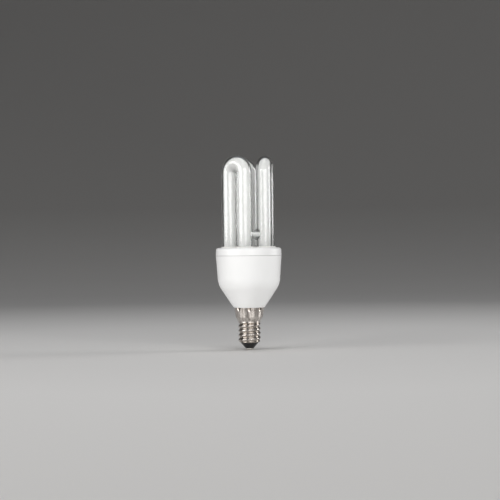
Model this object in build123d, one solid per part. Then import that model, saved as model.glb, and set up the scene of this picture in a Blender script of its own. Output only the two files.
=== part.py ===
from build123d import *
import os
from math import atan2, cos, degrees, hypot, radians, sin

os.makedirs("parts", exist_ok=True)

# Everything is in millimetres, with Z = 0 on the centre contact and +Z towards the glass.

# Screw thread of the cap, the smaller of the two common lamp sizes
THREAD_MAJOR_D = 13.89
THREAD_DEPTH = 0.8
THREAD_PITCH = 2.822
THREAD_CREST_Z = 7.35
THREAD_TOP_Z = 17.2
THREAD_SWING = THREAD_DEPTH / 2
THREAD_MEAN_R = THREAD_MAJOR_D / 2 - THREAD_SWING

# Cap shell, pressed from sheet
SHEET = 0.3
RIM_Z = 4.3
RIM_LIP = 0.5
RIM_ROUND = 2.2
CAP_BORE_R = THREAD_MEAN_R - THREAD_SWING - SHEET
RIM_HOLE_R = CAP_BORE_R - RIM_LIP
CAP_NECK_R = THREAD_MAJOR_D / 2
CAP_NECK_Z = 16.9
FLARE_Z = 17.7
FLARE_ROUND = 1.0
FLARE_STEP = 1.45
SKIRT_LOW_R = CAP_NECK_R + FLARE_STEP
SKIRT_LOW_Z = 20.2
SKIRT_SPREAD = 1.0
SKIRT_TOP_R = SKIRT_LOW_R + SKIRT_SPREAD
SKIRT_TOP_Z = 26.2
FLARE_SLOPE = FLARE_STEP / (SKIRT_LOW_Z - FLARE_Z)
SKIRT_SLOPE = SKIRT_SPREAD / (SKIRT_TOP_Z - SKIRT_LOW_Z)

# Punched stakes that fix the skirt to the housing neck
STAKE_COUNT = 8
STAKE_HEIGHT = 2.2
STAKE_BAR_R = 3.5
STAKE_DEPTH = 0.6
STAKE_FIRST_ANGLE = -89

# Glass insulator and centre contact
CONTACT_R = 2.45
CONTACT_T = 0.75
CONTACT_ROUND = 0.5
EYELET_R = 0.9
EYELET_BORE_R = 0.55
EYELET_TOP_Z = 4.2
INSULATOR_TOP_Z = 7.6
INSULATOR_WELL_R = 3.2
INSULATOR_WELL_DRAFT = 1.0

# Discharge tube: three bends round the axis, joined in a row by two bridges
TUBE_D = 9.8
TUBE_R = TUBE_D / 2
LEG_SPACING = 11.8
BEND_RING_R = 11.0
BEND_COUNT = 3
FIRST_BEND_ANGLE = -9
TUBE_TOP_Z = 120.4
ARCH_Z = TUBE_TOP_Z - LEG_SPACING / 2 - TUBE_R
LEG_RING_R = hypot(BEND_RING_R, LEG_SPACING / 2)
BRIDGE_R = 0.59 * TUBE_R
BRIDGE_BLEND = 0.25 * TUBE_R
BRIDGE_RISE = 8.2
LEG_END_DROP = 8.4
LEG_END_ROUND = 0.86 * TUBE_R
GLASS_WALL = 1.2
LINING_T = 0.2
PINCH_WIDTH = 1.5 * TUBE_R
PINCH_T = 0.5 * TUBE_R
PINCH_DROP = 4.0
ELECTRODE_SPREAD = 3.0
ELECTRODE_RISE = 12.0
ELECTRODE_COIL_R = 0.5
CEMENT_GAP = 0.3
CEMENT_BEAD = 0.7

# Ballast housing, moulded
WALL = 1.4
HOUSING_FOOT_STEP = 0.2
HOUSING_FOOT_R = SKIRT_TOP_R + HOUSING_FOOT_STEP
HOUSING_FOOT_ROUND = 0.4
HOUSING_CONE_STEP = 1.5
HOUSING_CONE_R = HOUSING_FOOT_R + HOUSING_CONE_STEP
HOUSING_CONE_Z = SKIRT_TOP_Z + 2.1
HOUSING_CONE_ROUND = 2.0
SEAM_MARGIN = 3.07
SEAM_R = LEG_RING_R + TUBE_R + SEAM_MARGIN
SEAM_Z = 58.4
SHOULDER_DRAFT = 1.25
SHOULDER_R = SEAM_R - SHOULDER_DRAFT
SHOULDER_Z = 40.6
SHOULDER_ROUND = 14.0
NECK_END_Z = SKIRT_LOW_Z + 0.4
NECK_FIT = 0.1
NECK_WALL = 1.1
NECK_BORE_R = SKIRT_LOW_R - SHEET - NECK_FIT - NECK_WALL
BOARD_LEDGE = 1.4

# Collar that carries the tubes
COLLAR_HEIGHT = 5.0
COLLAR_TOP_Z = SEAM_Z + COLLAR_HEIGHT
COLLAR_DRAFT = 0.15
COLLAR_TOP_R = SEAM_R - COLLAR_DRAFT
COLLAR_ROUND = 1.7
COLLAR_PLATE = 1.8
SPIGOT_WALL = 1.2
SPIGOT_FIT = 0.12
SNAP_Z = SEAM_Z - 3.8
SNAP_HEIGHT = 0.4
SOCKET_WALL = 0.9
SOCKET_DEPTH = 5.8
SOCKET_END_Z = COLLAR_TOP_Z - SOCKET_DEPTH
SEAM_EDGE = 0.2
BRIDGE_Z = COLLAR_TOP_Z + BRIDGE_RISE
LEG_END_Z = COLLAR_TOP_Z - LEG_END_DROP
PINCH_END_Z = LEG_END_Z - PINCH_DROP

# Circuit board and what stands on it
BOARD_FIT = 0.4
BOARD_T = 1.2
BOARD_DROP = 2.0
BOARD_TOP_Z = PINCH_END_Z - BOARD_DROP
BOARD_LOW_Z = BOARD_TOP_Z - BOARD_T
WALL_LEAN = (SEAM_R - SHOULDER_R) / (SEAM_Z - SHOULDER_Z)
BOARD_R = SEAM_R - WALL * hypot(1, WALL_LEAN) - (SEAM_Z - BOARD_LOW_Z) * WALL_LEAN - BOARD_FIT
WIRE_R = 0.55
LEAD_R = 0.3


def corner_between(first, second, third, inset):
    """Corner of the outline first-second-third, moved in by a wall of the given thickness."""
    lean_low = (second[0] - first[0]) / (second[1] - first[1])
    lean_high = (third[0] - second[0]) / (third[1] - second[1])
    back_low = inset * hypot(1, lean_low)
    back_high = inset * hypot(1, lean_high)
    rise = (back_low - back_high) / (lean_low - lean_high)
    return second[0] - back_low + lean_low * rise, second[1] + rise


def turned(outline):
    """Solid of revolution about Z from (radius, height, corner radius) points."""
    points = [(radius, height) for radius, height, _ in outline]
    section = make_face(Polyline(*points, close=True))
    for radius, height, rounding in outline:
        if rounding:
            corner = section.vertices().sort_by_distance((radius, height))[0]
            section = fillet(corner, rounding)
    return revolve(Plane.XZ * section, Axis.Z)


def bar(start, end, radius):
    """Round bar between two points."""
    run = Vector(*end) - Vector(*start)
    return Plane(start, z_dir=run) * extrude(Circle(radius), run.length)


def bent_wire(points, radius, bend):
    """Round wire along straight runs with bends of one radius."""
    path = FilletPolyline(*points, radius=bend)
    section = Plane(path @ 0, z_dir=path % 0) * Circle(radius)
    return sweep(section, path=path)


def block(x, y, z_low, size_x, size_y, height, rounding=0):
    """Upright block by its centre, foot height and size, with rounded upright edges."""
    face = RectangleRounded(size_x, size_y, rounding) if rounding else Rectangle(size_x, size_y)
    return Pos(x, y, z_low) * extrude(face, height)


# Screw cap

def rolled_thread(radius, low, high):
    """Round bar whose centre winds up a fine right-hand helix, as the rolled lamp thread does."""
    path = Helix(THREAD_PITCH, high - low, THREAD_SWING, center=(0, 0, low))
    section = Pos(THREAD_SWING, 0, low) * Circle(radius)
    return sweep(section, path=path, normal=(0, 0, 1))


def skirt_outline(inset, low_z, top_z):
    """Outline of neck, flare and skirt, moved in by the sheet thickness for the inside."""
    top_r = SKIRT_TOP_R + (top_z - SKIRT_TOP_Z) * SKIRT_SLOPE
    foot_r = CAP_NECK_R - (CAP_NECK_Z - low_z)
    return [
        (0, low_z, 0),
        (foot_r - inset, low_z, 0),
        (CAP_NECK_R - inset, CAP_NECK_Z, 0),
        (CAP_NECK_R - inset, FLARE_Z, FLARE_ROUND),
        (SKIRT_LOW_R - inset, SKIRT_LOW_Z, FLARE_ROUND),
        (top_r - inset, top_z, 0),
        (0, top_z, 0),
    ]


def stake_bars(radius):
    """Leaning round bars, one at each stake, that dent the skirt's top edge and run out below it."""
    top_r = SKIRT_TOP_R + STAKE_BAR_R - STAKE_DEPTH
    lean = STAKE_DEPTH / STAKE_HEIGHT - SKIRT_SLOPE
    high = (top_r - STAKE_HEIGHT * lean, 0, SKIRT_TOP_Z + STAKE_HEIGHT)
    low = (top_r + 2 * STAKE_HEIGHT * lean, 0, SKIRT_TOP_Z - 2 * STAKE_HEIGHT)
    angles = [STAKE_FIRST_ANGLE + k * 360 / STAKE_COUNT for k in range(STAKE_COUNT)]
    return [Rot(0, 0, angle) * bar(low, high, radius) for angle in angles]


def cap_shell():
    foot_z = CAP_NECK_Z - 2 * THREAD_SWING
    turn_low = THREAD_CREST_Z - 2 * THREAD_PITCH
    thread_r = THREAD_MEAN_R + THREAD_SWING
    rolled_rim = turned([
        (0, RIM_Z, 0),
        (thread_r + SHEET / 2, RIM_Z, RIM_ROUND),
        (thread_r + SHEET / 2, THREAD_TOP_Z, 0),
        (0, THREAD_TOP_Z, 0),
    ])
    skirt = turned(skirt_outline(0, foot_z, SKIRT_TOP_Z))
    outside = (rolled_thread(THREAD_MEAN_R, turn_low, THREAD_TOP_Z + SHEET) & rolled_rim) + skirt
    bore = turned([
        (0, RIM_Z - SHEET, 0),
        (RIM_HOLE_R, RIM_Z - SHEET, 0),
        (RIM_HOLE_R, RIM_Z + SHEET, 0),
        (CAP_BORE_R, RIM_Z + 2 * SHEET, 0),
        (CAP_BORE_R, THREAD_TOP_Z, 0),
        (0, THREAD_TOP_Z, 0),
    ])
    inside = bore + turned(skirt_outline(SHEET, foot_z, SKIRT_TOP_Z + SHEET))
    shell = outside - inside
    for dent in stake_bars(STAKE_BAR_R + SHEET):
        shell += dent & skirt
    for dent in stake_bars(STAKE_BAR_R):
        shell -= dent
    return shell


def cap_insulator():
    return turned([
        (EYELET_R, CONTACT_T, 0),
        (CONTACT_R, CONTACT_T, 0),
        (RIM_HOLE_R, RIM_Z - SHEET, 0),
        (RIM_HOLE_R, RIM_Z + SHEET, 0),
        (CAP_BORE_R, RIM_Z + 2 * SHEET, 0),
        (CAP_BORE_R, INSULATOR_TOP_Z, 0),
        (INSULATOR_WELL_R, INSULATOR_TOP_Z - SHEET, 0),
        (INSULATOR_WELL_R - INSULATOR_WELL_DRAFT, EYELET_TOP_Z, 0),
        (EYELET_R, EYELET_TOP_Z, 0),
    ])


def centre_contact():
    return turned([
        (EYELET_BORE_R, 0, 0),
        (CONTACT_R, 0, CONTACT_ROUND),
        (CONTACT_R, CONTACT_T, 0),
        (EYELET_R, CONTACT_T, 0),
        (EYELET_R, EYELET_TOP_Z, 0),
        (EYELET_BORE_R, EYELET_TOP_Z, 0),
    ])


def contact_solder():
    return extrude(Circle(EYELET_BORE_R), EYELET_TOP_Z / 2)


# Ballast housing

CONE = (HOUSING_CONE_R, HOUSING_CONE_Z)
SHOULDER = (SHOULDER_R, SHOULDER_Z)
MOUTH = (SEAM_R, SEAM_Z)
CONE_LEAN = (SHOULDER_R - HOUSING_CONE_R) / (SHOULDER_Z - HOUSING_CONE_Z)


def inner_wall_r(height):
    """Radius of the housing's inside face above the shoulder."""
    return SEAM_R - WALL * hypot(1, WALL_LEAN) - (SEAM_Z - height) * WALL_LEAN


def neck_r(height):
    """Radius of the neck that the cap skirt sits on."""
    return SKIRT_TOP_R - SHEET - NECK_FIT - (SKIRT_TOP_Z - height) * SKIRT_SLOPE


def ballast_housing():
    outside = turned([
        (0, SKIRT_TOP_Z, 0),
        (HOUSING_FOOT_R, SKIRT_TOP_Z, HOUSING_FOOT_ROUND),
        (*CONE, HOUSING_CONE_ROUND),
        (*SHOULDER, SHOULDER_ROUND),
        (*MOUTH, SEAM_EDGE),
        (0, SEAM_Z, 0),
    ])
    neck = turned([
        (0, NECK_END_Z, 0),
        (neck_r(NECK_END_Z), NECK_END_Z, 0),
        (neck_r(SKIRT_TOP_Z), SKIRT_TOP_Z, 0),
        (0, SKIRT_TOP_Z, 0),
    ])
    for dent in stake_bars(STAKE_BAR_R + SHEET + NECK_FIT):
        neck -= dent
    corner = corner_between(CONE, SHOULDER, MOUTH, WALL)
    cone_foot_z = corner[1] - (corner[0] - NECK_BORE_R) / CONE_LEAN
    hollow = turned([
        (0, NECK_END_Z - WALL, 0),
        (NECK_BORE_R, NECK_END_Z - WALL, 0),
        (NECK_BORE_R, cone_foot_z, 0),
        (*corner, SHOULDER_ROUND - WALL),
        (inner_wall_r(SEAM_Z + WALL), SEAM_Z + WALL, 0),
        (0, SEAM_Z + WALL, 0),
    ])
    ledge_r = BOARD_R - BOARD_LEDGE
    ledge_wall_r = inner_wall_r(BOARD_LOW_Z) + WALL / 2
    ledge = turned([
        (ledge_r, BOARD_LOW_Z, 0),
        (ledge_wall_r, BOARD_LOW_Z, 0),
        (ledge_wall_r, BOARD_LOW_Z - 2 * BOARD_LEDGE - WALL, 0),
        (ledge_r, BOARD_LOW_Z - WALL, 0),
    ])
    groove_r = inner_wall_r(SNAP_Z)
    groove_half = SNAP_HEIGHT + 2 * SPIGOT_FIT
    groove = turned([
        (groove_r - SNAP_HEIGHT, SNAP_Z - 2 * groove_half, 0),
        (groove_r + SNAP_HEIGHT + SPIGOT_FIT, SNAP_Z - groove_half / 2, 0),
        (groove_r + SNAP_HEIGHT + SPIGOT_FIT, SNAP_Z + groove_half / 2, 0),
        (groove_r - SNAP_HEIGHT, SNAP_Z + 2 * groove_half, 0),
    ])
    return outside + neck - hollow + ledge - groove


# Discharge tube and its collar

def leg_point(bend, side):
    """Centre of one leg: side -1 or +1 of the bend, counted round the axis."""
    angle = radians(FIRST_BEND_ANGLE + bend * 360 / BEND_COUNT)
    along = side * LEG_SPACING / 2
    x = BEND_RING_R * cos(angle) - along * sin(angle)
    y = BEND_RING_R * sin(angle) + along * cos(angle)
    return x, y


ALL_LEGS = [leg_point(bend, side) for bend in range(BEND_COUNT) for side in (-1, 1)]
BRIDGED = [(leg_point(2, 1), leg_point(0, -1)), (leg_point(0, 1), leg_point(1, -1))]
ELECTRODE_LEGS = [leg_point(1, 1), leg_point(2, -1)]


def pinch_frame(leg, height):
    """Place on an electrode leg with X pointing out from the lamp's axis."""
    return Pos(leg[0], leg[1], height) * Rot(0, 0, degrees(atan2(leg[1], leg[0])))


def tube_leg(inset):
    """One straight leg on the Z axis with its rounded end, every wall moved in by the inset."""
    leg = bar((0, 0, LEG_END_Z + inset), (0, 0, ARCH_Z), TUBE_R - inset)
    return fillet(leg.edges().sort_by(Axis.Z)[0], LEG_END_ROUND - inset)


def tube_run(inset):
    """The whole run of bends, legs and bridges, every wall moved in by the inset."""
    half = LEG_SPACING / 2
    ring = Pos(half, 0, ARCH_Z) * Circle(TUBE_R - inset)
    bend = revolve(ring, Axis((0, 0, ARCH_Z), (0, -1, 0)), 180)
    for side in (-1, 1):
        bend += Pos(side * half, 0, 0) * tube_leg(inset)
    stand = Pos(BEND_RING_R, 0, 0) * Rot(0, 0, 90) * bend
    run = Rot(0, 0, FIRST_BEND_ANGLE) * stand
    for k in range(1, BEND_COUNT):
        run += Rot(0, 0, FIRST_BEND_ANGLE + k * 360 / BEND_COUNT) * stand
    for start, end in BRIDGED:
        run += bar((*start, BRIDGE_Z), (*end, BRIDGE_Z), BRIDGE_R - inset)
    return run


def discharge_tube():
    glass = tube_run(0)
    joins = [
        edge for edge in glass.edges()
        if abs(edge.center().Z - BRIDGE_Z) < BRIDGE_R
        and edge.bounding_box().size.Z > BRIDGE_R
        and edge.geom_type != GeomType.LINE
    ]
    glass = fillet(joins, BRIDGE_BLEND)
    for leg in ELECTRODE_LEGS:
        height = LEG_END_Z + LEG_END_ROUND / 2 - PINCH_END_Z
        press = extrude(RectangleRounded(PINCH_T, PINCH_WIDTH, PINCH_T / 2 - 0.1), height)
        glass += pinch_frame(leg, PINCH_END_Z) * press
    return glass - tube_run(GLASS_WALL)


def phosphor_lining():
    return tube_run(GLASS_WALL) - tube_run(GLASS_WALL + LINING_T)


def electrodes():
    half = ELECTRODE_SPREAD / 2
    coil_z = LEG_END_Z + ELECTRODE_RISE
    posts = [bar((0, side * half, LEG_END_Z), (0, side * half, coil_z), LEAD_R) for side in (-1, 1)]
    seated = (posts[0] + posts[1]) & tube_leg(GLASS_WALL + LINING_T)
    one = seated + bar((0, -half, coil_z), (0, half, coil_z), ELECTRODE_COIL_R)
    return [pinch_frame(leg, 0) * one for leg in ELECTRODE_LEGS]


def tube_collar():
    spigot_end_z = BOARD_TOP_Z
    spigot_top_r = inner_wall_r(SEAM_Z) - SPIGOT_FIT
    spigot_end_r = inner_wall_r(spigot_end_z) - SPIGOT_FIT
    snap_r = inner_wall_r(SNAP_Z) - SPIGOT_FIT
    inner_top_z = COLLAR_TOP_Z - COLLAR_PLATE
    cover = turned([
        (0, inner_top_z, 0),
        (spigot_top_r - SPIGOT_WALL, inner_top_z, 0),
        (spigot_end_r - SPIGOT_WALL, spigot_end_z, 0),
        (spigot_end_r, spigot_end_z, 0),
        (snap_r, SNAP_Z - 1.5 * SNAP_HEIGHT, 0),
        (snap_r + SNAP_HEIGHT, SNAP_Z, 0),
        (snap_r, SNAP_Z + 1.5 * SNAP_HEIGHT, 0),
        (spigot_top_r, SEAM_Z, 0),
        (SEAM_R, SEAM_Z, SEAM_EDGE),
        (COLLAR_TOP_R, COLLAR_TOP_Z, COLLAR_ROUND),
        (0, COLLAR_TOP_Z, 0),
    ])
    hole_r = TUBE_R + CEMENT_GAP
    for leg in ALL_LEGS:
        cover += bar((*leg, SOCKET_END_Z), (*leg, inner_top_z), hole_r + SOCKET_WALL)
    for leg in ALL_LEGS:
        cover -= bar((*leg, SOCKET_END_Z - 1), (*leg, COLLAR_TOP_Z + 1), hole_r)
    return cover


def tube_cement():
    ring = turned([
        (TUBE_R, SOCKET_END_Z, 0),
        (TUBE_R + CEMENT_GAP, SOCKET_END_Z, 0),
        (TUBE_R + CEMENT_GAP, COLLAR_TOP_Z, 0),
        (TUBE_R + CEMENT_BEAD, COLLAR_TOP_Z, 0),
        (TUBE_R, COLLAR_TOP_Z + CEMENT_BEAD, 0),
    ])
    return [Pos(*leg, 0) * ring for leg in ALL_LEGS]


# Circuit board, parts on its cap side

def circuit_board():
    return Pos(0, 0, BOARD_LOW_Z) * extrude(Circle(BOARD_R), BOARD_T)


CAPACITOR_R = 4.0
CAPACITOR_LENGTH = 13.0
CAPACITOR_CRIMP = 0.4


def smoothing_capacitor():
    low_z = BOARD_LOW_Z - CAPACITOR_LENGTH
    crimp_z = BOARD_LOW_Z - 2.0
    return turned([
        (0, low_z, 0),
        (CAPACITOR_R, low_z, 0),
        (CAPACITOR_R, crimp_z - 2 * CAPACITOR_CRIMP, 0),
        (CAPACITOR_R - CAPACITOR_CRIMP, crimp_z, 0),
        (CAPACITOR_R, crimp_z + 2 * CAPACITOR_CRIMP, 0),
        (CAPACITOR_R, BOARD_LOW_Z, 0),
        (0, BOARD_LOW_Z, 0),
    ])


CHOKE_X = 0.536 * BOARD_R
CORE_WIDTH = 10.2
CORE_DEPTH = 4.8
CORE_HEIGHT = 10.0
CORE_LEG = 1.3
CORE_POST = 2.6
CORE_TOP_Z = BOARD_LOW_Z - 0.3
FLANGE_T = 0.6
BOBBIN_FIT = 0.1
BOBBIN_WALL = 0.5
FLANGE_X = 9.0
FLANGE_Y = CORE_WIDTH - 2 * CORE_LEG - 2 * BOBBIN_FIT
WINDOW_LOW_Z = CORE_TOP_Z - CORE_HEIGHT + CORE_LEG
WINDOW_TOP_Z = CORE_TOP_Z - CORE_LEG
TUBE_X = CORE_DEPTH + 2 * BOBBIN_FIT + 2 * BOBBIN_WALL
TUBE_Y = CORE_POST + 2 * BOBBIN_FIT + 2 * BOBBIN_WALL


def choke_core():
    low_z = CORE_TOP_Z - CORE_HEIGHT
    window_y = (CORE_WIDTH - 2 * CORE_LEG - CORE_POST) / 2
    window_at = CORE_POST / 2 + window_y / 2
    body = block(CHOKE_X, 0, low_z, CORE_DEPTH, CORE_WIDTH, CORE_HEIGHT, 0.3)
    for side in (-1, 1):
        height = WINDOW_TOP_Z - WINDOW_LOW_Z
        body -= block(CHOKE_X, side * window_at, WINDOW_LOW_Z, CORE_DEPTH + 1, window_y, height)
    return body


def choke_bobbin():
    height = WINDOW_TOP_Z - WINDOW_LOW_Z
    frame = block(CHOKE_X, 0, WINDOW_LOW_Z, TUBE_X, TUBE_Y, height)
    for flange_z in (WINDOW_LOW_Z, WINDOW_TOP_Z - FLANGE_T):
        frame += block(CHOKE_X, 0, flange_z, FLANGE_X, FLANGE_Y, FLANGE_T, 0.4)
    foot_x = (FLANGE_X - CORE_DEPTH) / 2 - 2 * BOBBIN_FIT
    foot_at = (FLANGE_X - foot_x) / 2
    for side in (-1, 1):
        foot_height = BOARD_LOW_Z - WINDOW_TOP_Z
        frame += block(CHOKE_X + side * foot_at, 0, WINDOW_TOP_Z, foot_x, FLANGE_Y, foot_height)
    post_x = CORE_DEPTH + 2 * BOBBIN_FIT
    post_y = CORE_POST + 2 * BOBBIN_FIT
    return frame - block(CHOKE_X, 0, WINDOW_LOW_Z - 1, post_x, post_y, height + 2)


def choke_winding():
    height = WINDOW_TOP_Z - WINDOW_LOW_Z - 2 * FLANGE_T
    low_z = WINDOW_LOW_Z + FLANGE_T
    coil = block(CHOKE_X, 0, low_z, FLANGE_X - 0.6, FLANGE_Y - 0.4, height, 2.0)
    return coil - block(CHOKE_X, 0, low_z - 1, TUBE_X, TUBE_Y, height + 2)


TOROID_AT = (-0.5 * BOARD_R, -0.39 * BOARD_R)
TOROID_R = 4.1
TOROID_BORE_R = 2.1
TOROID_HEIGHT = 3.4
TURN_T = 0.4
TURN_ARC = 46


def drive_toroid():
    low_z = BOARD_LOW_Z - TURN_T - TOROID_HEIGHT
    ring = extrude(Circle(TOROID_R) - Circle(TOROID_BORE_R), TOROID_HEIGHT)
    return Pos(*TOROID_AT, low_z) * ring


def toroid_windings():
    low_z = BOARD_LOW_Z - 2 * TURN_T - TOROID_HEIGHT
    height = TOROID_HEIGHT + 2 * TURN_T
    mid_r = (TOROID_R + TOROID_BORE_R) / 2
    width = TOROID_R - TOROID_BORE_R + 2 * TURN_T
    section = Pos(mid_r, low_z + height / 2) * Rectangle(width, height)
    coil = revolve(Plane.XZ * section, Axis.Z, TURN_ARC)
    coils = [Pos(*TOROID_AT, 0) * Rot(0, 0, turn) * coil for turn in (20, 140, 260)]
    return [coil - drive_toroid() for coil in coils]


TRANSISTORS = [
    (-0.345 * BOARD_R, 0.57 * BOARD_R, 30),
    (-0.625 * BOARD_R, 0.2 * BOARD_R, 70),
]
CASE_R = 2.4
CASE_FLAT = 1.4
CASE_HEIGHT = 4.7
CASE_STAND = 2.0
PIN_PITCH = 1.27
PIN_SIDE = 0.45


def switching_transistors():
    case_low_z = BOARD_LOW_Z - CASE_STAND - CASE_HEIGHT
    profile = Circle(CASE_R) - Pos(0, -CASE_FLAT - CASE_R) * Rectangle(4 * CASE_R, 2 * CASE_R)
    one = Pos(0, 0, case_low_z) * extrude(profile, CASE_HEIGHT)
    for pin in (-1, 0, 1):
        one += block(pin * PIN_PITCH, 0, case_low_z + CASE_HEIGHT, PIN_SIDE, PIN_SIDE, CASE_STAND)
    return [Pos(x, y, 0) * Rot(0, 0, turn) * one for x, y, turn in TRANSISTORS]


FILM_LENGTH = 7.2
FILM_ROUND = 0.8
FILM_X = 0.12 * BOARD_R
FILM_Y = 0.6 * BOARD_R
START_T = 3.0
START_HEIGHT = 6.5
COUPLING_T = 3.6
COUPLING_HEIGHT = 7.5


def start_capacitor():
    low_z = BOARD_LOW_Z - START_HEIGHT
    return block(FILM_X, FILM_Y, low_z, FILM_LENGTH, START_T, START_HEIGHT, FILM_ROUND)


def coupling_capacitor():
    low_z = BOARD_LOW_Z - COUPLING_HEIGHT
    return block(FILM_X, -FILM_Y, low_z, FILM_LENGTH, COUPLING_T, COUPLING_HEIGHT, FILM_ROUND)


# Parts on the glass side of the board

def axial_part(x, y, turn, body_r, body_length, span):
    """Axial part lying over the board, its two wire ends bent down onto the board."""
    axis_z = BOARD_TOP_Z + body_r + LEAD_R
    half = span / 2
    part = bar((-body_length / 2, 0, axis_z), (body_length / 2, 0, axis_z), body_r)
    part += bar((-half, 0, axis_z), (half, 0, axis_z), LEAD_R)
    for end in (-half, half):
        part += bar((end, 0, BOARD_TOP_Z), (end, 0, axis_z), LEAD_R)
    return Pos(x, y, 0) * Rot(0, 0, turn) * part


DIODE_R = 1.3
DIODE_LENGTH = 5.0
DIODE_SPAN = 8.4
DIODE_STEP = 3.2
RESISTOR_R = 0.9
RESISTOR_LENGTH = 3.3
RESISTOR_SPAN = 6.4
RESISTOR_X = 0.52 * BOARD_R
RESISTOR_STEP = 4.0
TRIGGER_X = 0.48 * BOARD_R


def rectifier_diodes():
    rows = [DIODE_STEP * row for row in (-1.5, -0.5, 0.5, 1.5)]
    return [axial_part(0, y, 0, DIODE_R, DIODE_LENGTH, DIODE_SPAN) for y in rows]


def bias_resistors():
    rows = [RESISTOR_STEP * row for row in (-1, 0, 1)]
    return [axial_part(RESISTOR_X, y, 0, RESISTOR_R, RESISTOR_LENGTH, RESISTOR_SPAN) for y in rows]


def trigger_diode():
    return axial_part(-TRIGGER_X, 0, 90, RESISTOR_R, RESISTOR_LENGTH, RESISTOR_SPAN)


PIN_EDGE = 2.3
PIN_RING_R = BOARD_R - PIN_EDGE
WRAP_PIN_SIDE = 0.9
WRAP_PIN_HEIGHT = 4.2
FILAMENT_STEP = 1.7
FILAMENT_R = 0.25


def wrap_pins():
    pins = []
    for leg in ELECTRODE_LEGS:
        out = PIN_RING_R - hypot(*leg)
        for side in (-1, 1):
            pin = block(out, side * FILAMENT_STEP, 0, WRAP_PIN_SIDE, WRAP_PIN_SIDE, WRAP_PIN_HEIGHT)
            pins.append(pinch_frame(leg, BOARD_TOP_Z) * pin)
    return pins


def filament_leads():
    leads = []
    for leg in ELECTRODE_LEGS:
        out = PIN_RING_R - hypot(*leg) - WRAP_PIN_SIDE / 2
        for side in (-1, 1):
            y = side * FILAMENT_STEP
            drop = BOARD_TOP_Z - PINCH_END_Z + 3 * FILAMENT_R
            wire = bar((0, y, 0), (0, y, drop), FILAMENT_R) + bar((0, y, drop), (out, y, drop), FILAMENT_R)
            leads.append(pinch_frame(leg, PINCH_END_Z) * wire)
    return leads


# Leads from the cap to the board

FUSE_R = 1.5
FUSE_LOW_Z = 9.0
FUSE_TOP_Z = 16.5
LEAD_RING = (NECK_BORE_R - 2 * WIRE_R) * cos(radians(45))
LEAD_RISE = 4.0
LEAD_SWAY = 6.0
LEAD_BEND = 2.0


def fusible_resistor():
    return bar((0, 0, FUSE_LOW_Z), (0, 0, FUSE_TOP_Z), FUSE_R)


def live_lead():
    low = bar((0, 0, EYELET_TOP_Z / 2), (0, 0, FUSE_LOW_Z), LEAD_R)
    route = [
        (0, 0, FUSE_TOP_Z),
        (0, 0, FUSE_TOP_Z + LEAD_RISE),
        (-LEAD_RING, -LEAD_RING, FUSE_TOP_Z + LEAD_RISE + LEAD_SWAY),
        (-LEAD_RING, -LEAD_RING, BOARD_LOW_Z),
    ]
    return [low, bent_wire(route, WIRE_R, LEAD_BEND)]


def neutral_lead():
    end_z = NECK_END_Z - 2 * WIRE_R
    reach = (CAP_NECK_R - SHEET + (end_z - WIRE_R - FLARE_Z) * FLARE_SLOPE) * cos(radians(45))
    route = [
        (-LEAD_RING, LEAD_RING, BOARD_LOW_Z),
        (-LEAD_RING, LEAD_RING, end_z),
        (-reach, reach, end_z),
    ]
    return bent_wire(route, WIRE_R, 2 * WIRE_R)


NODES = {
    "discharge_tube": discharge_tube,
    "phosphor_lining": phosphor_lining,
    "electrodes": electrodes,
    "tube_collar": tube_collar,
    "tube_cement": tube_cement,
    "ballast_housing": ballast_housing,
    "cap_shell": cap_shell,
    "cap_insulator": cap_insulator,
    "centre_contact": centre_contact,
    "contact_solder": contact_solder,
    "circuit_board": circuit_board,
    "smoothing_capacitor": smoothing_capacitor,
    "choke_core": choke_core,
    "choke_bobbin": choke_bobbin,
    "choke_winding": choke_winding,
    "drive_toroid": drive_toroid,
    "toroid_windings": toroid_windings,
    "switching_transistors": switching_transistors,
    "start_capacitor": start_capacitor,
    "coupling_capacitor": coupling_capacitor,
    "rectifier_diodes": rectifier_diodes,
    "bias_resistors": bias_resistors,
    "trigger_diode": trigger_diode,
    "wrap_pins": wrap_pins,
    "filament_leads": filament_leads,
    "fusible_resistor": fusible_resistor,
    "live_lead": live_lead,
    "neutral_lead": neutral_lead,
}

for name, make in NODES.items():
    made = make()
    pieces = made if isinstance(made, list) else [made]
    solids = [solid for piece in pieces for solid in piece.solids()]
    export_step(Compound(children=solids) if len(solids) > 1 else solids[0], f"parts/{name}.step")
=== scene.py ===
from math import cos, pi, radians, sin

import bmesh
import bpy
from mathutils import Matrix, Vector


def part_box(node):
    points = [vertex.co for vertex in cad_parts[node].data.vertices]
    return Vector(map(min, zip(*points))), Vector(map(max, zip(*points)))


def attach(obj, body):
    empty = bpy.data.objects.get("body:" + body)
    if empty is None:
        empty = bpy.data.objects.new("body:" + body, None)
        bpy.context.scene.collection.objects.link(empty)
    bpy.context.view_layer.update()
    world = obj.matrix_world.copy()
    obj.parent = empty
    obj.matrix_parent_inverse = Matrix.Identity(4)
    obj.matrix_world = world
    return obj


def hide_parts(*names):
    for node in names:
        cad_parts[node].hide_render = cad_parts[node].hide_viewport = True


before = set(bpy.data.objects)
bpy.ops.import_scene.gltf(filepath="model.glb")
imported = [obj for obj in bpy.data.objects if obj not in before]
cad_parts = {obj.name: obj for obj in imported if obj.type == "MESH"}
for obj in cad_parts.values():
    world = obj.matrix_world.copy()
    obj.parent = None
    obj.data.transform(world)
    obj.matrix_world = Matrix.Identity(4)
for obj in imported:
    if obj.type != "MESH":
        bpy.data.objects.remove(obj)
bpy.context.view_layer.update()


# Centre contact: a tinned brass eyelet pressed into the bottom of the insulator.
# The live wire comes down through it and is held by a bead of solder in its bore.

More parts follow.
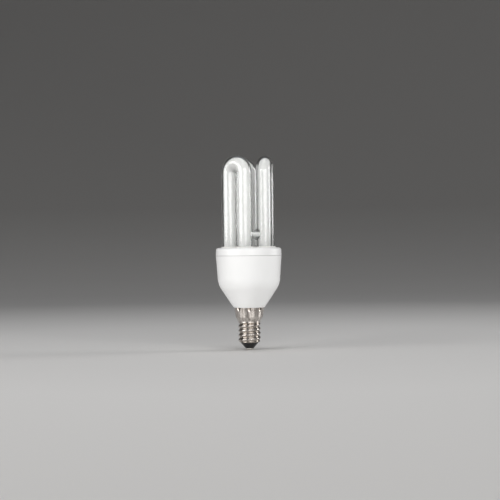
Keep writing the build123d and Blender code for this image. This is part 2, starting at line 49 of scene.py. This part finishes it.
def new_finish(name):
    """Empty node material with one shader; returns the material, its nodes, links and shader."""
    material = bpy.data.materials.new(name)
    material.use_nodes = True
    tree = material.node_tree
    tree.nodes.clear()
    shader = tree.nodes.new("ShaderNodeBsdfPrincipled")
    output = tree.nodes.new("ShaderNodeOutputMaterial")
    tree.links.new(shader.outputs["BSDF"], output.inputs["Surface"])
    return material, tree.nodes, tree.links, shader


def mottle(nodes, links, scale, detail=4.0, stretch=(1, 1, 1)):
    """Noise over the piece's own place in metres, stretched where marks run one way."""
    place = nodes.new("ShaderNodeTexCoord")
    turn = nodes.new("ShaderNodeMapping")
    turn.inputs["Scale"].default_value = stretch
    noise = nodes.new("ShaderNodeTexNoise")
    noise.inputs["Scale"].default_value = scale
    noise.inputs["Detail"].default_value = detail
    links.new(place.outputs["Object"], turn.inputs["Vector"])
    links.new(turn.outputs["Vector"], noise.inputs["Vector"])
    return noise.outputs["Fac"]


def spread(nodes, links, value, low, high, start=0.3, stop=0.7):
    """A number between low and high as the value goes from start to stop."""
    ramp = nodes.new("ShaderNodeMapRange")
    ramp.inputs["From Min"].default_value = start
    ramp.inputs["From Max"].default_value = stop
    ramp.inputs["To Min"].default_value = low
    ramp.inputs["To Max"].default_value = high
    links.new(value, ramp.inputs["Value"])
    return ramp.outputs["Result"]


def two_tone(nodes, links, value, first, second, start=0.3, stop=0.7):
    """Colour that goes from the first to the second as the value goes from start to stop."""
    mix = nodes.new("ShaderNodeMix")
    mix.data_type = "RGBA"
    colours = [socket for socket in mix.inputs if socket.type == "RGBA"]
    colours[0].default_value = (*first, 1)
    colours[1].default_value = (*second, 1)
    links.new(spread(nodes, links, value, 0, 1, start, stop), mix.inputs[0])
    return [socket for socket in mix.outputs if socket.type == "RGBA"][0]


def tint(nodes, links, shader, value, first, second, start=0.3, stop=0.7):
    """Give the finish a colour between two tones."""
    links.new(two_tone(nodes, links, value, first, second, start, stop), shader.inputs["Base Color"])


def dull(nodes, links, shader, value, low, high):
    """Give the finish a roughness between low and high."""
    links.new(spread(nodes, links, value, low, high), shader.inputs["Roughness"])


def relief(nodes, links, shader, value, height, strength=1.0):
    """Surface relief of the given height in metres."""
    bump = nodes.new("ShaderNodeBump")
    bump.inputs["Strength"].default_value = strength
    bump.inputs["Distance"].default_value = height
    links.new(value, bump.inputs["Height"])
    links.new(bump.outputs["Normal"], shader.inputs["Normal"])


def dress(material, *names):
    """Give CAD nodes this finish."""
    for name in names:
        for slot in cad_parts[name].material_slots:
            slot.material = material


tinned, nodes, links, shader = new_finish("tinned_contact")
shader.inputs["Metallic"].default_value = 1.0
scuffs = mottle(nodes, links, 900)
tint(nodes, links, shader, scuffs, (0.60, 0.57, 0.52), (0.78, 0.76, 0.72))
dull(nodes, links, shader, scuffs, 0.42, 0.24)
relief(nodes, links, shader, mottle(nodes, links, 2600, 6), 0.00004, 0.5)
dress(tinned, "centre_contact")

solder, nodes, links, shader = new_finish("solder_bead")
shader.inputs["Metallic"].default_value = 1.0
lumps = mottle(nodes, links, 1400, 2)
tint(nodes, links, shader, lumps, (0.50, 0.50, 0.51), (0.72, 0.72, 0.73))
dull(nodes, links, shader, lumps, 0.38, 0.22)
relief(nodes, links, shader, lumps, 0.00015, 0.7)
dress(solder, "contact_solder")


# Cap insulator: black glass run into the bottom of the cap, where it holds the
# contact and keeps it apart from the shell. Its outside is fire polished.

black_glass, nodes, links, shader = new_finish("black_cap_glass")
shader.inputs["Coat Weight"].default_value = 0.2
shader.inputs["Coat Roughness"].default_value = 0.04
shader.inputs["Specular IOR Level"].default_value = 0.3
streaks = mottle(nodes, links, 420, 5, (1, 1, 0.4))
tint(nodes, links, shader, streaks, (0.006, 0.006, 0.008), (0.020, 0.018, 0.017))
dull(nodes, links, shader, streaks, 0.06, 0.16)
relief(nodes, links, shader, mottle(nodes, links, 500, 2), 0.00005, 0.4)
dress(black_glass, "cap_insulator")


# Cap shell: thin brass sheet drawn to a cup, its thread rolled in, nickel plated.
# Its skirt sits on the neck of the housing and is staked to it by eight punch marks.

THREAD_ROOT_R = 0.0061
THREAD_CREST_R = 0.0068
SKIRT_TOP_R = 0.0094
SKIRT_TOP_Z = 0.0262
SKIRT_SLOPE = 1 / 6
STAKE_REACH = 0.0026
STAKE_FLOOR = 0.0003
STAKE_EDGE = 0.00005
NICKEL = (0.74, 0.69, 0.645)
DULL_NICKEL = (0.30, 0.265, 0.24)
ROOT_TARNISH = (0.36, 0.31, 0.26)
# Colour of the painted shade in the stake dents.
PAINTED_STAKE_SHADE = (0.20, 0.17, 0.14)


def place_on_piece(nodes, links):
    """X, Y and Z on the piece, in metres."""
    place = nodes.new("ShaderNodeTexCoord")
    split = nodes.new("ShaderNodeSeparateXYZ")
    links.new(place.outputs["Object"], split.inputs["Vector"])
    return split.outputs["X"], split.outputs["Y"], split.outputs["Z"]


def worked_out(nodes, links, operation, *values):
    """Result of one step of arithmetic on sockets or plain numbers."""
    step = nodes.new("ShaderNodeMath")
    step.operation = operation
    for socket, value in zip(step.inputs, values):
        if isinstance(value, bpy.types.NodeSocket):
            links.new(value, socket)
        else:
            socket.default_value = value
    return step.outputs["Value"]


def laid_over(nodes, links, under, colour, mask):
    """One colour laid over another by the mask."""
    mix = nodes.new("ShaderNodeMix")
    mix.data_type = "RGBA"
    colours = [socket for socket in mix.inputs if socket.type == "RGBA"]
    colours[1].default_value = (*colour, 1)
    links.new(mask, mix.inputs[0])
    links.new(under, colours[0])
    return [socket for socket in mix.outputs if socket.type == "RGBA"][0]


nickel, nodes, links, shader = new_finish("nickel_plate")
shader.inputs["Metallic"].default_value = 1.0
shader.inputs["Anisotropic"].default_value = 0.95
shader.inputs["Anisotropic Rotation"].default_value = 0.25
round_the_cap = nodes.new("ShaderNodeTangent")
round_the_cap.direction_type = "RADIAL"
round_the_cap.axis = "Z"
links.new(round_the_cap.outputs["Tangent"], shader.inputs["Tangent"])

draw_marks = mottle(nodes, links, 700, 5, (1, 1, 0.08))
plate = two_tone(nodes, links, draw_marks, DULL_NICKEL, NICKEL, 0.32, 0.56)

x, y, z = place_on_piece(nodes, links)
radius_squared = worked_out(nodes, links, "MULTIPLY_ADD", x, x, worked_out(nodes, links, "MULTIPLY", y, y))
radius = worked_out(nodes, links, "SQRT", radius_squared)
in_root = spread(nodes, links, radius, 0.75, 0.0, THREAD_ROOT_R, THREAD_CREST_R)
plate = laid_over(nodes, links, plate, ROOT_TARNISH, in_root)

# Painted shade: the stake dents are coloured dark, as though in shadow, where the skirt is pressed in near
# its top.
skirt_line = SKIRT_TOP_R - SKIRT_SLOPE * SKIRT_TOP_Z
upright = worked_out(nodes, links, "MULTIPLY_ADD", z, -SKIRT_SLOPE, radius)
pressed_in = spread(nodes, links, upright, 0.9, 0.0, skirt_line - STAKE_FLOOR, skirt_line - STAKE_EDGE)
near_edge = spread(nodes, links, z, 0.0, 1.0, SKIRT_TOP_Z - STAKE_REACH, SKIRT_TOP_Z - 0.9 * STAKE_REACH)
stake_shade_mask = worked_out(nodes, links, "MULTIPLY", pressed_in, near_edge)
plate = laid_over(nodes, links, plate, PAINTED_STAKE_SHADE, stake_shade_mask)

links.new(plate, shader.inputs["Base Color"])
dull(nodes, links, shader, mottle(nodes, links, 160, 3), 0.24, 0.32)
relief(nodes, links, shader, draw_marks, 0.00002, 0.2)
dress(nickel, "cap_shell")


# Leads: tinned copper wires in plastic sleeves from the cap up to the board, the
# live one through a fusible resistor that stands in the bore of the cap.

def bands_up(nodes, links, scale, distortion):
    """Even bands one above the other, as painted rings or turns of wire."""
    place = nodes.new("ShaderNodeTexCoord")
    bands = nodes.new("ShaderNodeTexWave")
    bands.bands_direction = "Z"
    bands.inputs["Scale"].default_value = scale
    bands.inputs["Distortion"].default_value = distortion
    links.new(place.outputs["Object"], bands.inputs["Vector"])
    return bands.outputs["Fac"]


sleeve, nodes, links, shader = new_finish("wire_sleeve")
wear = mottle(nodes, links, 600)
tint(nodes, links, shader, wear, (0.30, 0.035, 0.03), (0.42, 0.06, 0.05))
dull(nodes, links, shader, wear, 0.35, 0.55)
dress(sleeve, "live_lead", "neutral_lead")

lacquer, nodes, links, shader = new_finish("resistor_lacquer")
rings = bands_up(nodes, links, 130, 0.4)
tint(nodes, links, shader, rings, (0.56, 0.44, 0.27), (0.28, 0.11, 0.05), 0.90, 0.96)
dull(nodes, links, shader, mottle(nodes, links, 800), 0.3, 0.5)
dress(lacquer, "fusible_resistor", "bias_resistors")


# Circuit board: brown phenolic laminate, a disc that lies on the ledge in the housing.
# The large parts hang from its cap side and the small axial ones lie on its glass side.

laminate, nodes, links, shader = new_finish("phenolic_laminate")
fibre = mottle(nodes, links, 900, 6, (1, 0.2, 1))
tint(nodes, links, shader, fibre, (0.22, 0.11, 0.045), (0.36, 0.20, 0.09))
dull(nodes, links, shader, fibre, 0.45, 0.65)
dress(laminate, "circuit_board")

can_sleeve, nodes, links, shader = new_finish("capacitor_sleeve")
grain = mottle(nodes, links, 700)
tint(nodes, links, shader, grain, (0.012, 0.013, 0.018), (0.03, 0.03, 0.04))
dull(nodes, links, shader, grain, 0.28, 0.42)
dress(can_sleeve, "smoothing_capacitor")

ferrite, nodes, links, shader = new_finish("sintered_ferrite")
grain = mottle(nodes, links, 3000, 6)
tint(nodes, links, shader, grain, (0.025, 0.025, 0.028), (0.065, 0.063, 0.062))
dull(nodes, links, shader, grain, 0.5, 0.8)
relief(nodes, links, shader, grain, 0.00003, 0.4)
dress(ferrite, "choke_core", "drive_toroid")

moulding, nodes, links, shader = new_finish("black_moulding")
grain = mottle(nodes, links, 2200, 4)
tint(nodes, links, shader, grain, (0.010, 0.010, 0.011), (0.028, 0.028, 0.030))
dull(nodes, links, shader, grain, 0.45, 0.6)
dress(moulding, "choke_bobbin", "switching_transistors", "rectifier_diodes")

enamel, nodes, links, shader = new_finish("enamelled_copper")
shader.inputs["Metallic"].default_value = 0.9
turns = bands_up(nodes, links, 900, 0.6)
tint(nodes, links, shader, turns, (0.30, 0.10, 0.03), (0.72, 0.30, 0.12))
dull(nodes, links, shader, turns, 0.45, 0.28)
relief(nodes, links, shader, turns, 0.0001, 0.6)
dress(enamel, "choke_winding", "toroid_windings")

dipped, nodes, links, shader = new_finish("dipped_resin")
flow = mottle(nodes, links, 300, 3)
tint(nodes, links, shader, flow, (0.24, 0.05, 0.02), (0.36, 0.09, 0.03))
dull(nodes, links, shader, flow, 0.12, 0.25)
relief(nodes, links, shader, flow, 0.0002, 0.3)
dress(dipped, "start_capacitor", "coupling_capacitor")

glass_body, nodes, links, shader = new_finish("diode_glass_body")
flow = mottle(nodes, links, 900, 3)
tint(nodes, links, shader, flow, (0.05, 0.10, 0.28), (0.09, 0.16, 0.40))
dull(nodes, links, shader, flow, 0.10, 0.22)
dress(glass_body, "trigger_diode")

bright_wire, nodes, links, shader = new_finish("bright_wire")
shader.inputs["Metallic"].default_value = 1.0
scuffs = mottle(nodes, links, 1500)
tint(nodes, links, shader, scuffs, (0.55, 0.53, 0.50), (0.75, 0.73, 0.70))
dull(nodes, links, shader, scuffs, 0.2, 0.4)
dress(bright_wire, "wrap_pins", "filament_leads", "electrodes")


# Ballast housing and collar: two white mouldings in flame retardant plastic, satin
# from the mould. The collar's spigot snaps into the housing and leaves a fine seam.

SEAM_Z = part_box("ballast_housing")[1].z
SEAM_HALF = 0.00022
# Colour of the painted shade along the seam groove.
PAINTED_SEAM_SHADE = (0.42, 0.42, 0.41)

white_plastic, nodes, links, shader = new_finish("white_moulded_plastic")
shader.inputs["Specular IOR Level"].default_value = 0.5
cloud = mottle(nodes, links, 90, 3)
white = two_tone(nodes, links, cloud, (0.875, 0.876, 0.87), (0.89, 0.89, 0.885))
z = place_on_piece(nodes, links)[2]
# Painted shade: a thin darker band is coloured along the seam, standing in for the groove's shadow.
off_seam = worked_out(nodes, links, "ABSOLUTE", worked_out(nodes, links, "SUBTRACT", z, SEAM_Z))
seam_shade_mask = spread(nodes, links, off_seam, 0.8, 0.0, 0.3 * SEAM_HALF, SEAM_HALF)
links.new(laid_over(nodes, links, white, PAINTED_SEAM_SHADE, seam_shade_mask), shader.inputs["Base Color"])
dull(nodes, links, shader, mottle(nodes, links, 350, 4), 0.29, 0.34)
relief(nodes, links, shader, mottle(nodes, links, 5000, 2), 0.00002, 0.06)
dress(white_plastic, "ballast_housing", "tube_collar")


# Cement: a white filled resin bead that fixes each glass leg in its hole in the collar.
# It is wiped round by hand, so its face is dull and a little uneven.

cement, nodes, links, shader = new_finish("white_cement")
grit = mottle(nodes, links, 2400, 5)
tint(nodes, links, shader, grit, (0.70, 0.69, 0.66), (0.84, 0.83, 0.80))
dull(nodes, links, shader, grit, 0.7, 0.9)
relief(nodes, links, shader, grit, 0.0001, 0.5)
dress(cement, "tube_cement")


# Discharge tube: clear glass tube bent into three hairpins and joined in a row by two
# blown bridges, its leg ends sealed. The clear wall shows as a rim round the white coat,
# and it casts no shadow, so the studio light reaches the coat behind it.

tube_glass, nodes, links, shader = new_finish("clear_tube_glass")
shader.inputs["Base Color"].default_value = (0.97, 0.98, 0.975, 1)
shader.inputs["Transmission Weight"].default_value = 1.0
shader.inputs["IOR"].default_value = 1.45
dull(nodes, links, shader, mottle(nodes, links, 40, 1), 0.055, 0.07)
dress(tube_glass, "discharge_tube")
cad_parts["discharge_tube"].visible_shadow = False


# Phosphor: white powder settled on the inside of the glass, right round the bends and
# through the bridges. It greys a little towards the bottom of the legs. A
# hair of air keeps it off the glass, as loose powder does.

TUBE_R = 0.0049
BEND_COUNT = 3
BEND_HALF = 0.0059
BEND_RING_R = 0.011
FIRST_BEND = radians(-9)
ARCH_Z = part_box("discharge_tube")[1].z - BEND_HALF - TUBE_R
COAT_R = 0.745 * TUBE_R
COAT_ARCH_Z = ARCH_Z - 0.0003
COAT_FOOT_Z = 0.0570
BRIDGE_Z = 0.0716
BRIDGE_COAT_R = 0.0016
GREY_BELOW_Z = 0.062
WHITE_ABOVE_Z = 0.078
RAGGED_EDGE = 0.006
LIGHT_LET_THROUGH = 0.47


def bend_angle(bend):
    """Bearing of one bend round the lamp's axis."""
    return FIRST_BEND + bend * 2 * pi / BEND_COUNT


def leg_at(bend, side):
    """Centre of one leg in plan, at the height of the bridges."""
    angle = bend_angle(bend)
    return Vector((BEND_RING_R * cos(angle) - side * BEND_HALF * sin(angle),
                   BEND_RING_R * sin(angle) + side * BEND_HALF * cos(angle), BRIDGE_Z))


coat = bmesh.new()
for bend in range(BEND_COUNT):
    hairpin = bmesh.new()
    ring = bmesh.ops.create_circle(hairpin, segments=48, radius=COAT_R)["verts"]
    bmesh.ops.translate(hairpin, verts=ring, vec=(BEND_HALF, 0, COAT_ARCH_Z))
    first_end = list(hairpin.edges)
    arch = bmesh.ops.spin(hairpin, geom=first_end, cent=(0, 0, COAT_ARCH_Z), axis=(0, -1, 0),
                          angle=pi, steps=40)
    second_end = [part for part in arch["geom_last"] if isinstance(part, bmesh.types.BMEdge)]
    for end in (first_end, second_end):
        leg = bmesh.ops.extrude_edge_only(hairpin, edges=end)["geom"]
        lower = [part for part in leg if isinstance(part, bmesh.types.BMVert)]
        rim = [part for part in leg if isinstance(part, bmesh.types.BMEdge)
               and all(corner in lower for corner in part.verts)]
        bmesh.ops.translate(hairpin, verts=lower, vec=(0, 0, COAT_FOOT_Z - COAT_ARCH_Z))
        bmesh.ops.edgeloop_fill(hairpin, edges=rim)
        bmesh.ops.bevel(hairpin, geom=rim, affect="EDGES", offset=0.8 * COAT_R, segments=8, profile=0.5,
                        material=-1)
    stand = Matrix.Translation((BEND_RING_R, 0, 0)) @ Matrix.Rotation(pi / 2, 4, "Z")
    round_axis = Matrix.Rotation(bend_angle(bend), 4, "Z")
    bmesh.ops.transform(hairpin, verts=hairpin.verts, matrix=round_axis @ stand)
    hairpin_mesh = bpy.data.meshes.new("hairpin")
    hairpin.to_mesh(hairpin_mesh)
    hairpin.free()
    coat.from_mesh(hairpin_mesh)
    bpy.data.meshes.remove(hairpin_mesh)

for start, stop in ((leg_at(2, 1), leg_at(0, -1)), (leg_at(0, 1), leg_at(1, -1))):
    run = stop - start
    neck = bmesh.ops.create_cone(coat, segments=32, radius1=BRIDGE_COAT_R, radius2=BRIDGE_COAT_R,
                                 depth=run.length, cap_ends=False)["verts"]
    lie = Matrix.Translation((start + stop) / 2) @ run.to_track_quat("Z", "Y").to_matrix().to_4x4()
    bmesh.ops.transform(coat, verts=neck, matrix=lie)
bmesh.ops.remove_doubles(coat, verts=coat.verts, dist=1e-7)
bmesh.ops.recalc_face_normals(coat, faces=coat.faces)
for face in coat.faces:
    face.smooth = True
coat_mesh = bpy.data.meshes.new("phosphor_coat")
coat.to_mesh(coat_mesh)
coat.free()
phosphor = bpy.data.objects.new("phosphor_coat", coat_mesh)
bpy.context.scene.collection.objects.link(phosphor)

powder, nodes, links, shader = new_finish("phosphor_powder")
shader.inputs["Roughness"].default_value = 1.0
shader.inputs["Specular IOR Level"].default_value = 0.1
z = place_on_piece(nodes, links)[2]
settled = worked_out(nodes, links, "MULTIPLY_ADD", mottle(nodes, links, 260, 4), RAGGED_EDGE, z)
tint(nodes, links, shader, settled, (0.58, 0.58, 0.575), (0.64, 0.64, 0.635), GREY_BELOW_Z, WHITE_ABOVE_Z)
relief(nodes, links, shader, mottle(nodes, links, 4000, 3), 0.00003, 0.3)
light_through = nodes.new("ShaderNodeBsdfTranslucent")
light_through.inputs["Color"].default_value = (0.92, 0.92, 0.91, 1)
thin_layer = nodes.new("ShaderNodeMixShader")
thin_layer.inputs["Fac"].default_value = LIGHT_LET_THROUGH
links.new(shader.outputs["BSDF"], thin_layer.inputs[1])
links.new(light_through.outputs["BSDF"], thin_layer.inputs[2])
links.new(thin_layer.outputs["Shader"], powder.node_tree.get_output_node("ALL").inputs["Surface"])
coat_mesh.materials.append(powder)
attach(phosphor, "root")
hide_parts("phosphor_lining")


# Floor: a pale paper sweep that rises all round in a soft curve, so every side of the
# lamp stands against the same plain ground.

FLOOR_Z = -0.0002
FLOOR_R = 0.75
FLOOR_CURVE = 1.2
FLOOR_HEIGHT = 2.0

paper = bmesh.new()
inner = paper.verts.new((0, 0, FLOOR_Z))
outer = paper.verts.new((FLOOR_R, 0, FLOOR_Z))
paper.edges.new((inner, outer))
curve = bmesh.ops.spin(paper, geom=[outer], cent=(FLOOR_R, 0, FLOOR_CURVE), axis=(0, -1, 0),
                       angle=pi / 2, steps=16)
top = [part for part in curve["geom_last"] if isinstance(part, bmesh.types.BMVert)]
wall = bmesh.ops.extrude_vert_indiv(paper, verts=top)["verts"]
bmesh.ops.translate(paper, verts=wall, vec=(0, 0, FLOOR_HEIGHT - FLOOR_CURVE))
bmesh.ops.spin(paper, geom=list(paper.verts) + list(paper.edges), cent=(0, 0, 0), axis=(0, 0, 1),
               angle=2 * pi, steps=96, use_merge=True)
bmesh.ops.remove_doubles(paper, verts=paper.verts, dist=1e-6)
bmesh.ops.recalc_face_normals(paper, faces=paper.faces)
bmesh.ops.reverse_faces(paper, faces=paper.faces)
for face in paper.faces:
    face.smooth = True
paper_mesh = bpy.data.meshes.new("paper_sweep")
paper.to_mesh(paper_mesh)
paper.free()
floor = bpy.data.objects.new("paper_sweep", paper_mesh)
bpy.context.scene.collection.objects.link(floor)

sweep_finish, nodes, links, shader = new_finish("pale_paper")
# Painted fall-off of light: the paper is coloured pale near the lamp and darker with distance from it.
place = nodes.new("ShaderNodeTexCoord")
painted_falloff_distance = nodes.new("ShaderNodeVectorMath")
painted_falloff_distance.operation = "LENGTH"
links.new(place.outputs["Object"], painted_falloff_distance.inputs[0])
tint(nodes, links, shader, painted_falloff_distance.outputs["Value"], (0.80, 0.79, 0.775), (0.36, 0.35, 0.335), 0.25, 1.3)
shader.inputs["Roughness"].default_value = 0.9
shader.inputs["Specular IOR Level"].default_value = 0.2
paper_mesh.materials.append(sweep_finish)


# Light: a soft box to the left, a wider one nearly in front, a narrow one on the right
# for the edge of the glass and a weak one overhead for the floor. The boxes reach almost
# down to the floor, so their reflections run the whole length of the legs.

AIM_Z = 0.06
BOX_SPREAD = radians(110)


def soft_box(name, bearing, distance, height, size, watts):
    """Soft box at a bearing in degrees from the camera's side, negative to the left."""
    light = bpy.data.lights.new(name, "AREA")
    light.shape = "RECTANGLE"
    light.size, light.size_y = size
    light.energy = watts
    light.spread = BOX_SPREAD
    light.color = (1, 0.995, 0.99)
    box = bpy.data.objects.new(name, light)
    stand = Vector((distance * sin(radians(bearing)), -distance * cos(radians(bearing)), height))
    box.location = stand
    box.rotation_euler = (Vector((0, 0, AIM_Z)) - stand).to_track_quat("-Z", "Y").to_euler()
    box.visible_camera = False
    bpy.context.scene.collection.objects.link(box)


soft_box("key", -58, 1.10, 0.31, (0.90, 0.54), 3.2)
soft_box("fill", 18, 1.10, 0.31, (1.20, 0.54), 3.4)
soft_box("side", 100, 1.15, 0.31, (0.36, 0.52), 1.6)
soft_box("overhead", 10, 0.05, 1.2, (0.6, 0.6), 0.6)

world = bpy.data.worlds.new("studio")
bpy.context.scene.world = world
world.use_nodes = True
background = world.node_tree.nodes["Background"]
background.inputs["Color"].default_value = (0.90, 0.93, 1.0, 1)
background.inputs["Strength"].default_value = 0.24


# Camera: level with the middle of the lamp, as the photograph is taken, and rolled by
# the little that the lamp leans there.

DISTANCE = 0.80
FRAME_WIDTH = 0.3115
EYE_X = 0.00087
EYE_Z = 0.0619
ROLL = radians(0.64)
SENSOR_WIDTH = 36

eye = bpy.data.cameras.new("camera")
eye.sensor_width = SENSOR_WIDTH
eye.lens = SENSOR_WIDTH * DISTANCE / FRAME_WIDTH
eye.clip_start = 0.01
camera = bpy.data.objects.new("camera", eye)
camera.location = (EYE_X, -DISTANCE, EYE_Z)
camera.rotation_euler = (pi / 2, ROLL, 0)
bpy.context.scene.collection.objects.link(camera)
bpy.context.scene.camera = camera
bpy.context.scene.view_settings.view_transform = "Standard"
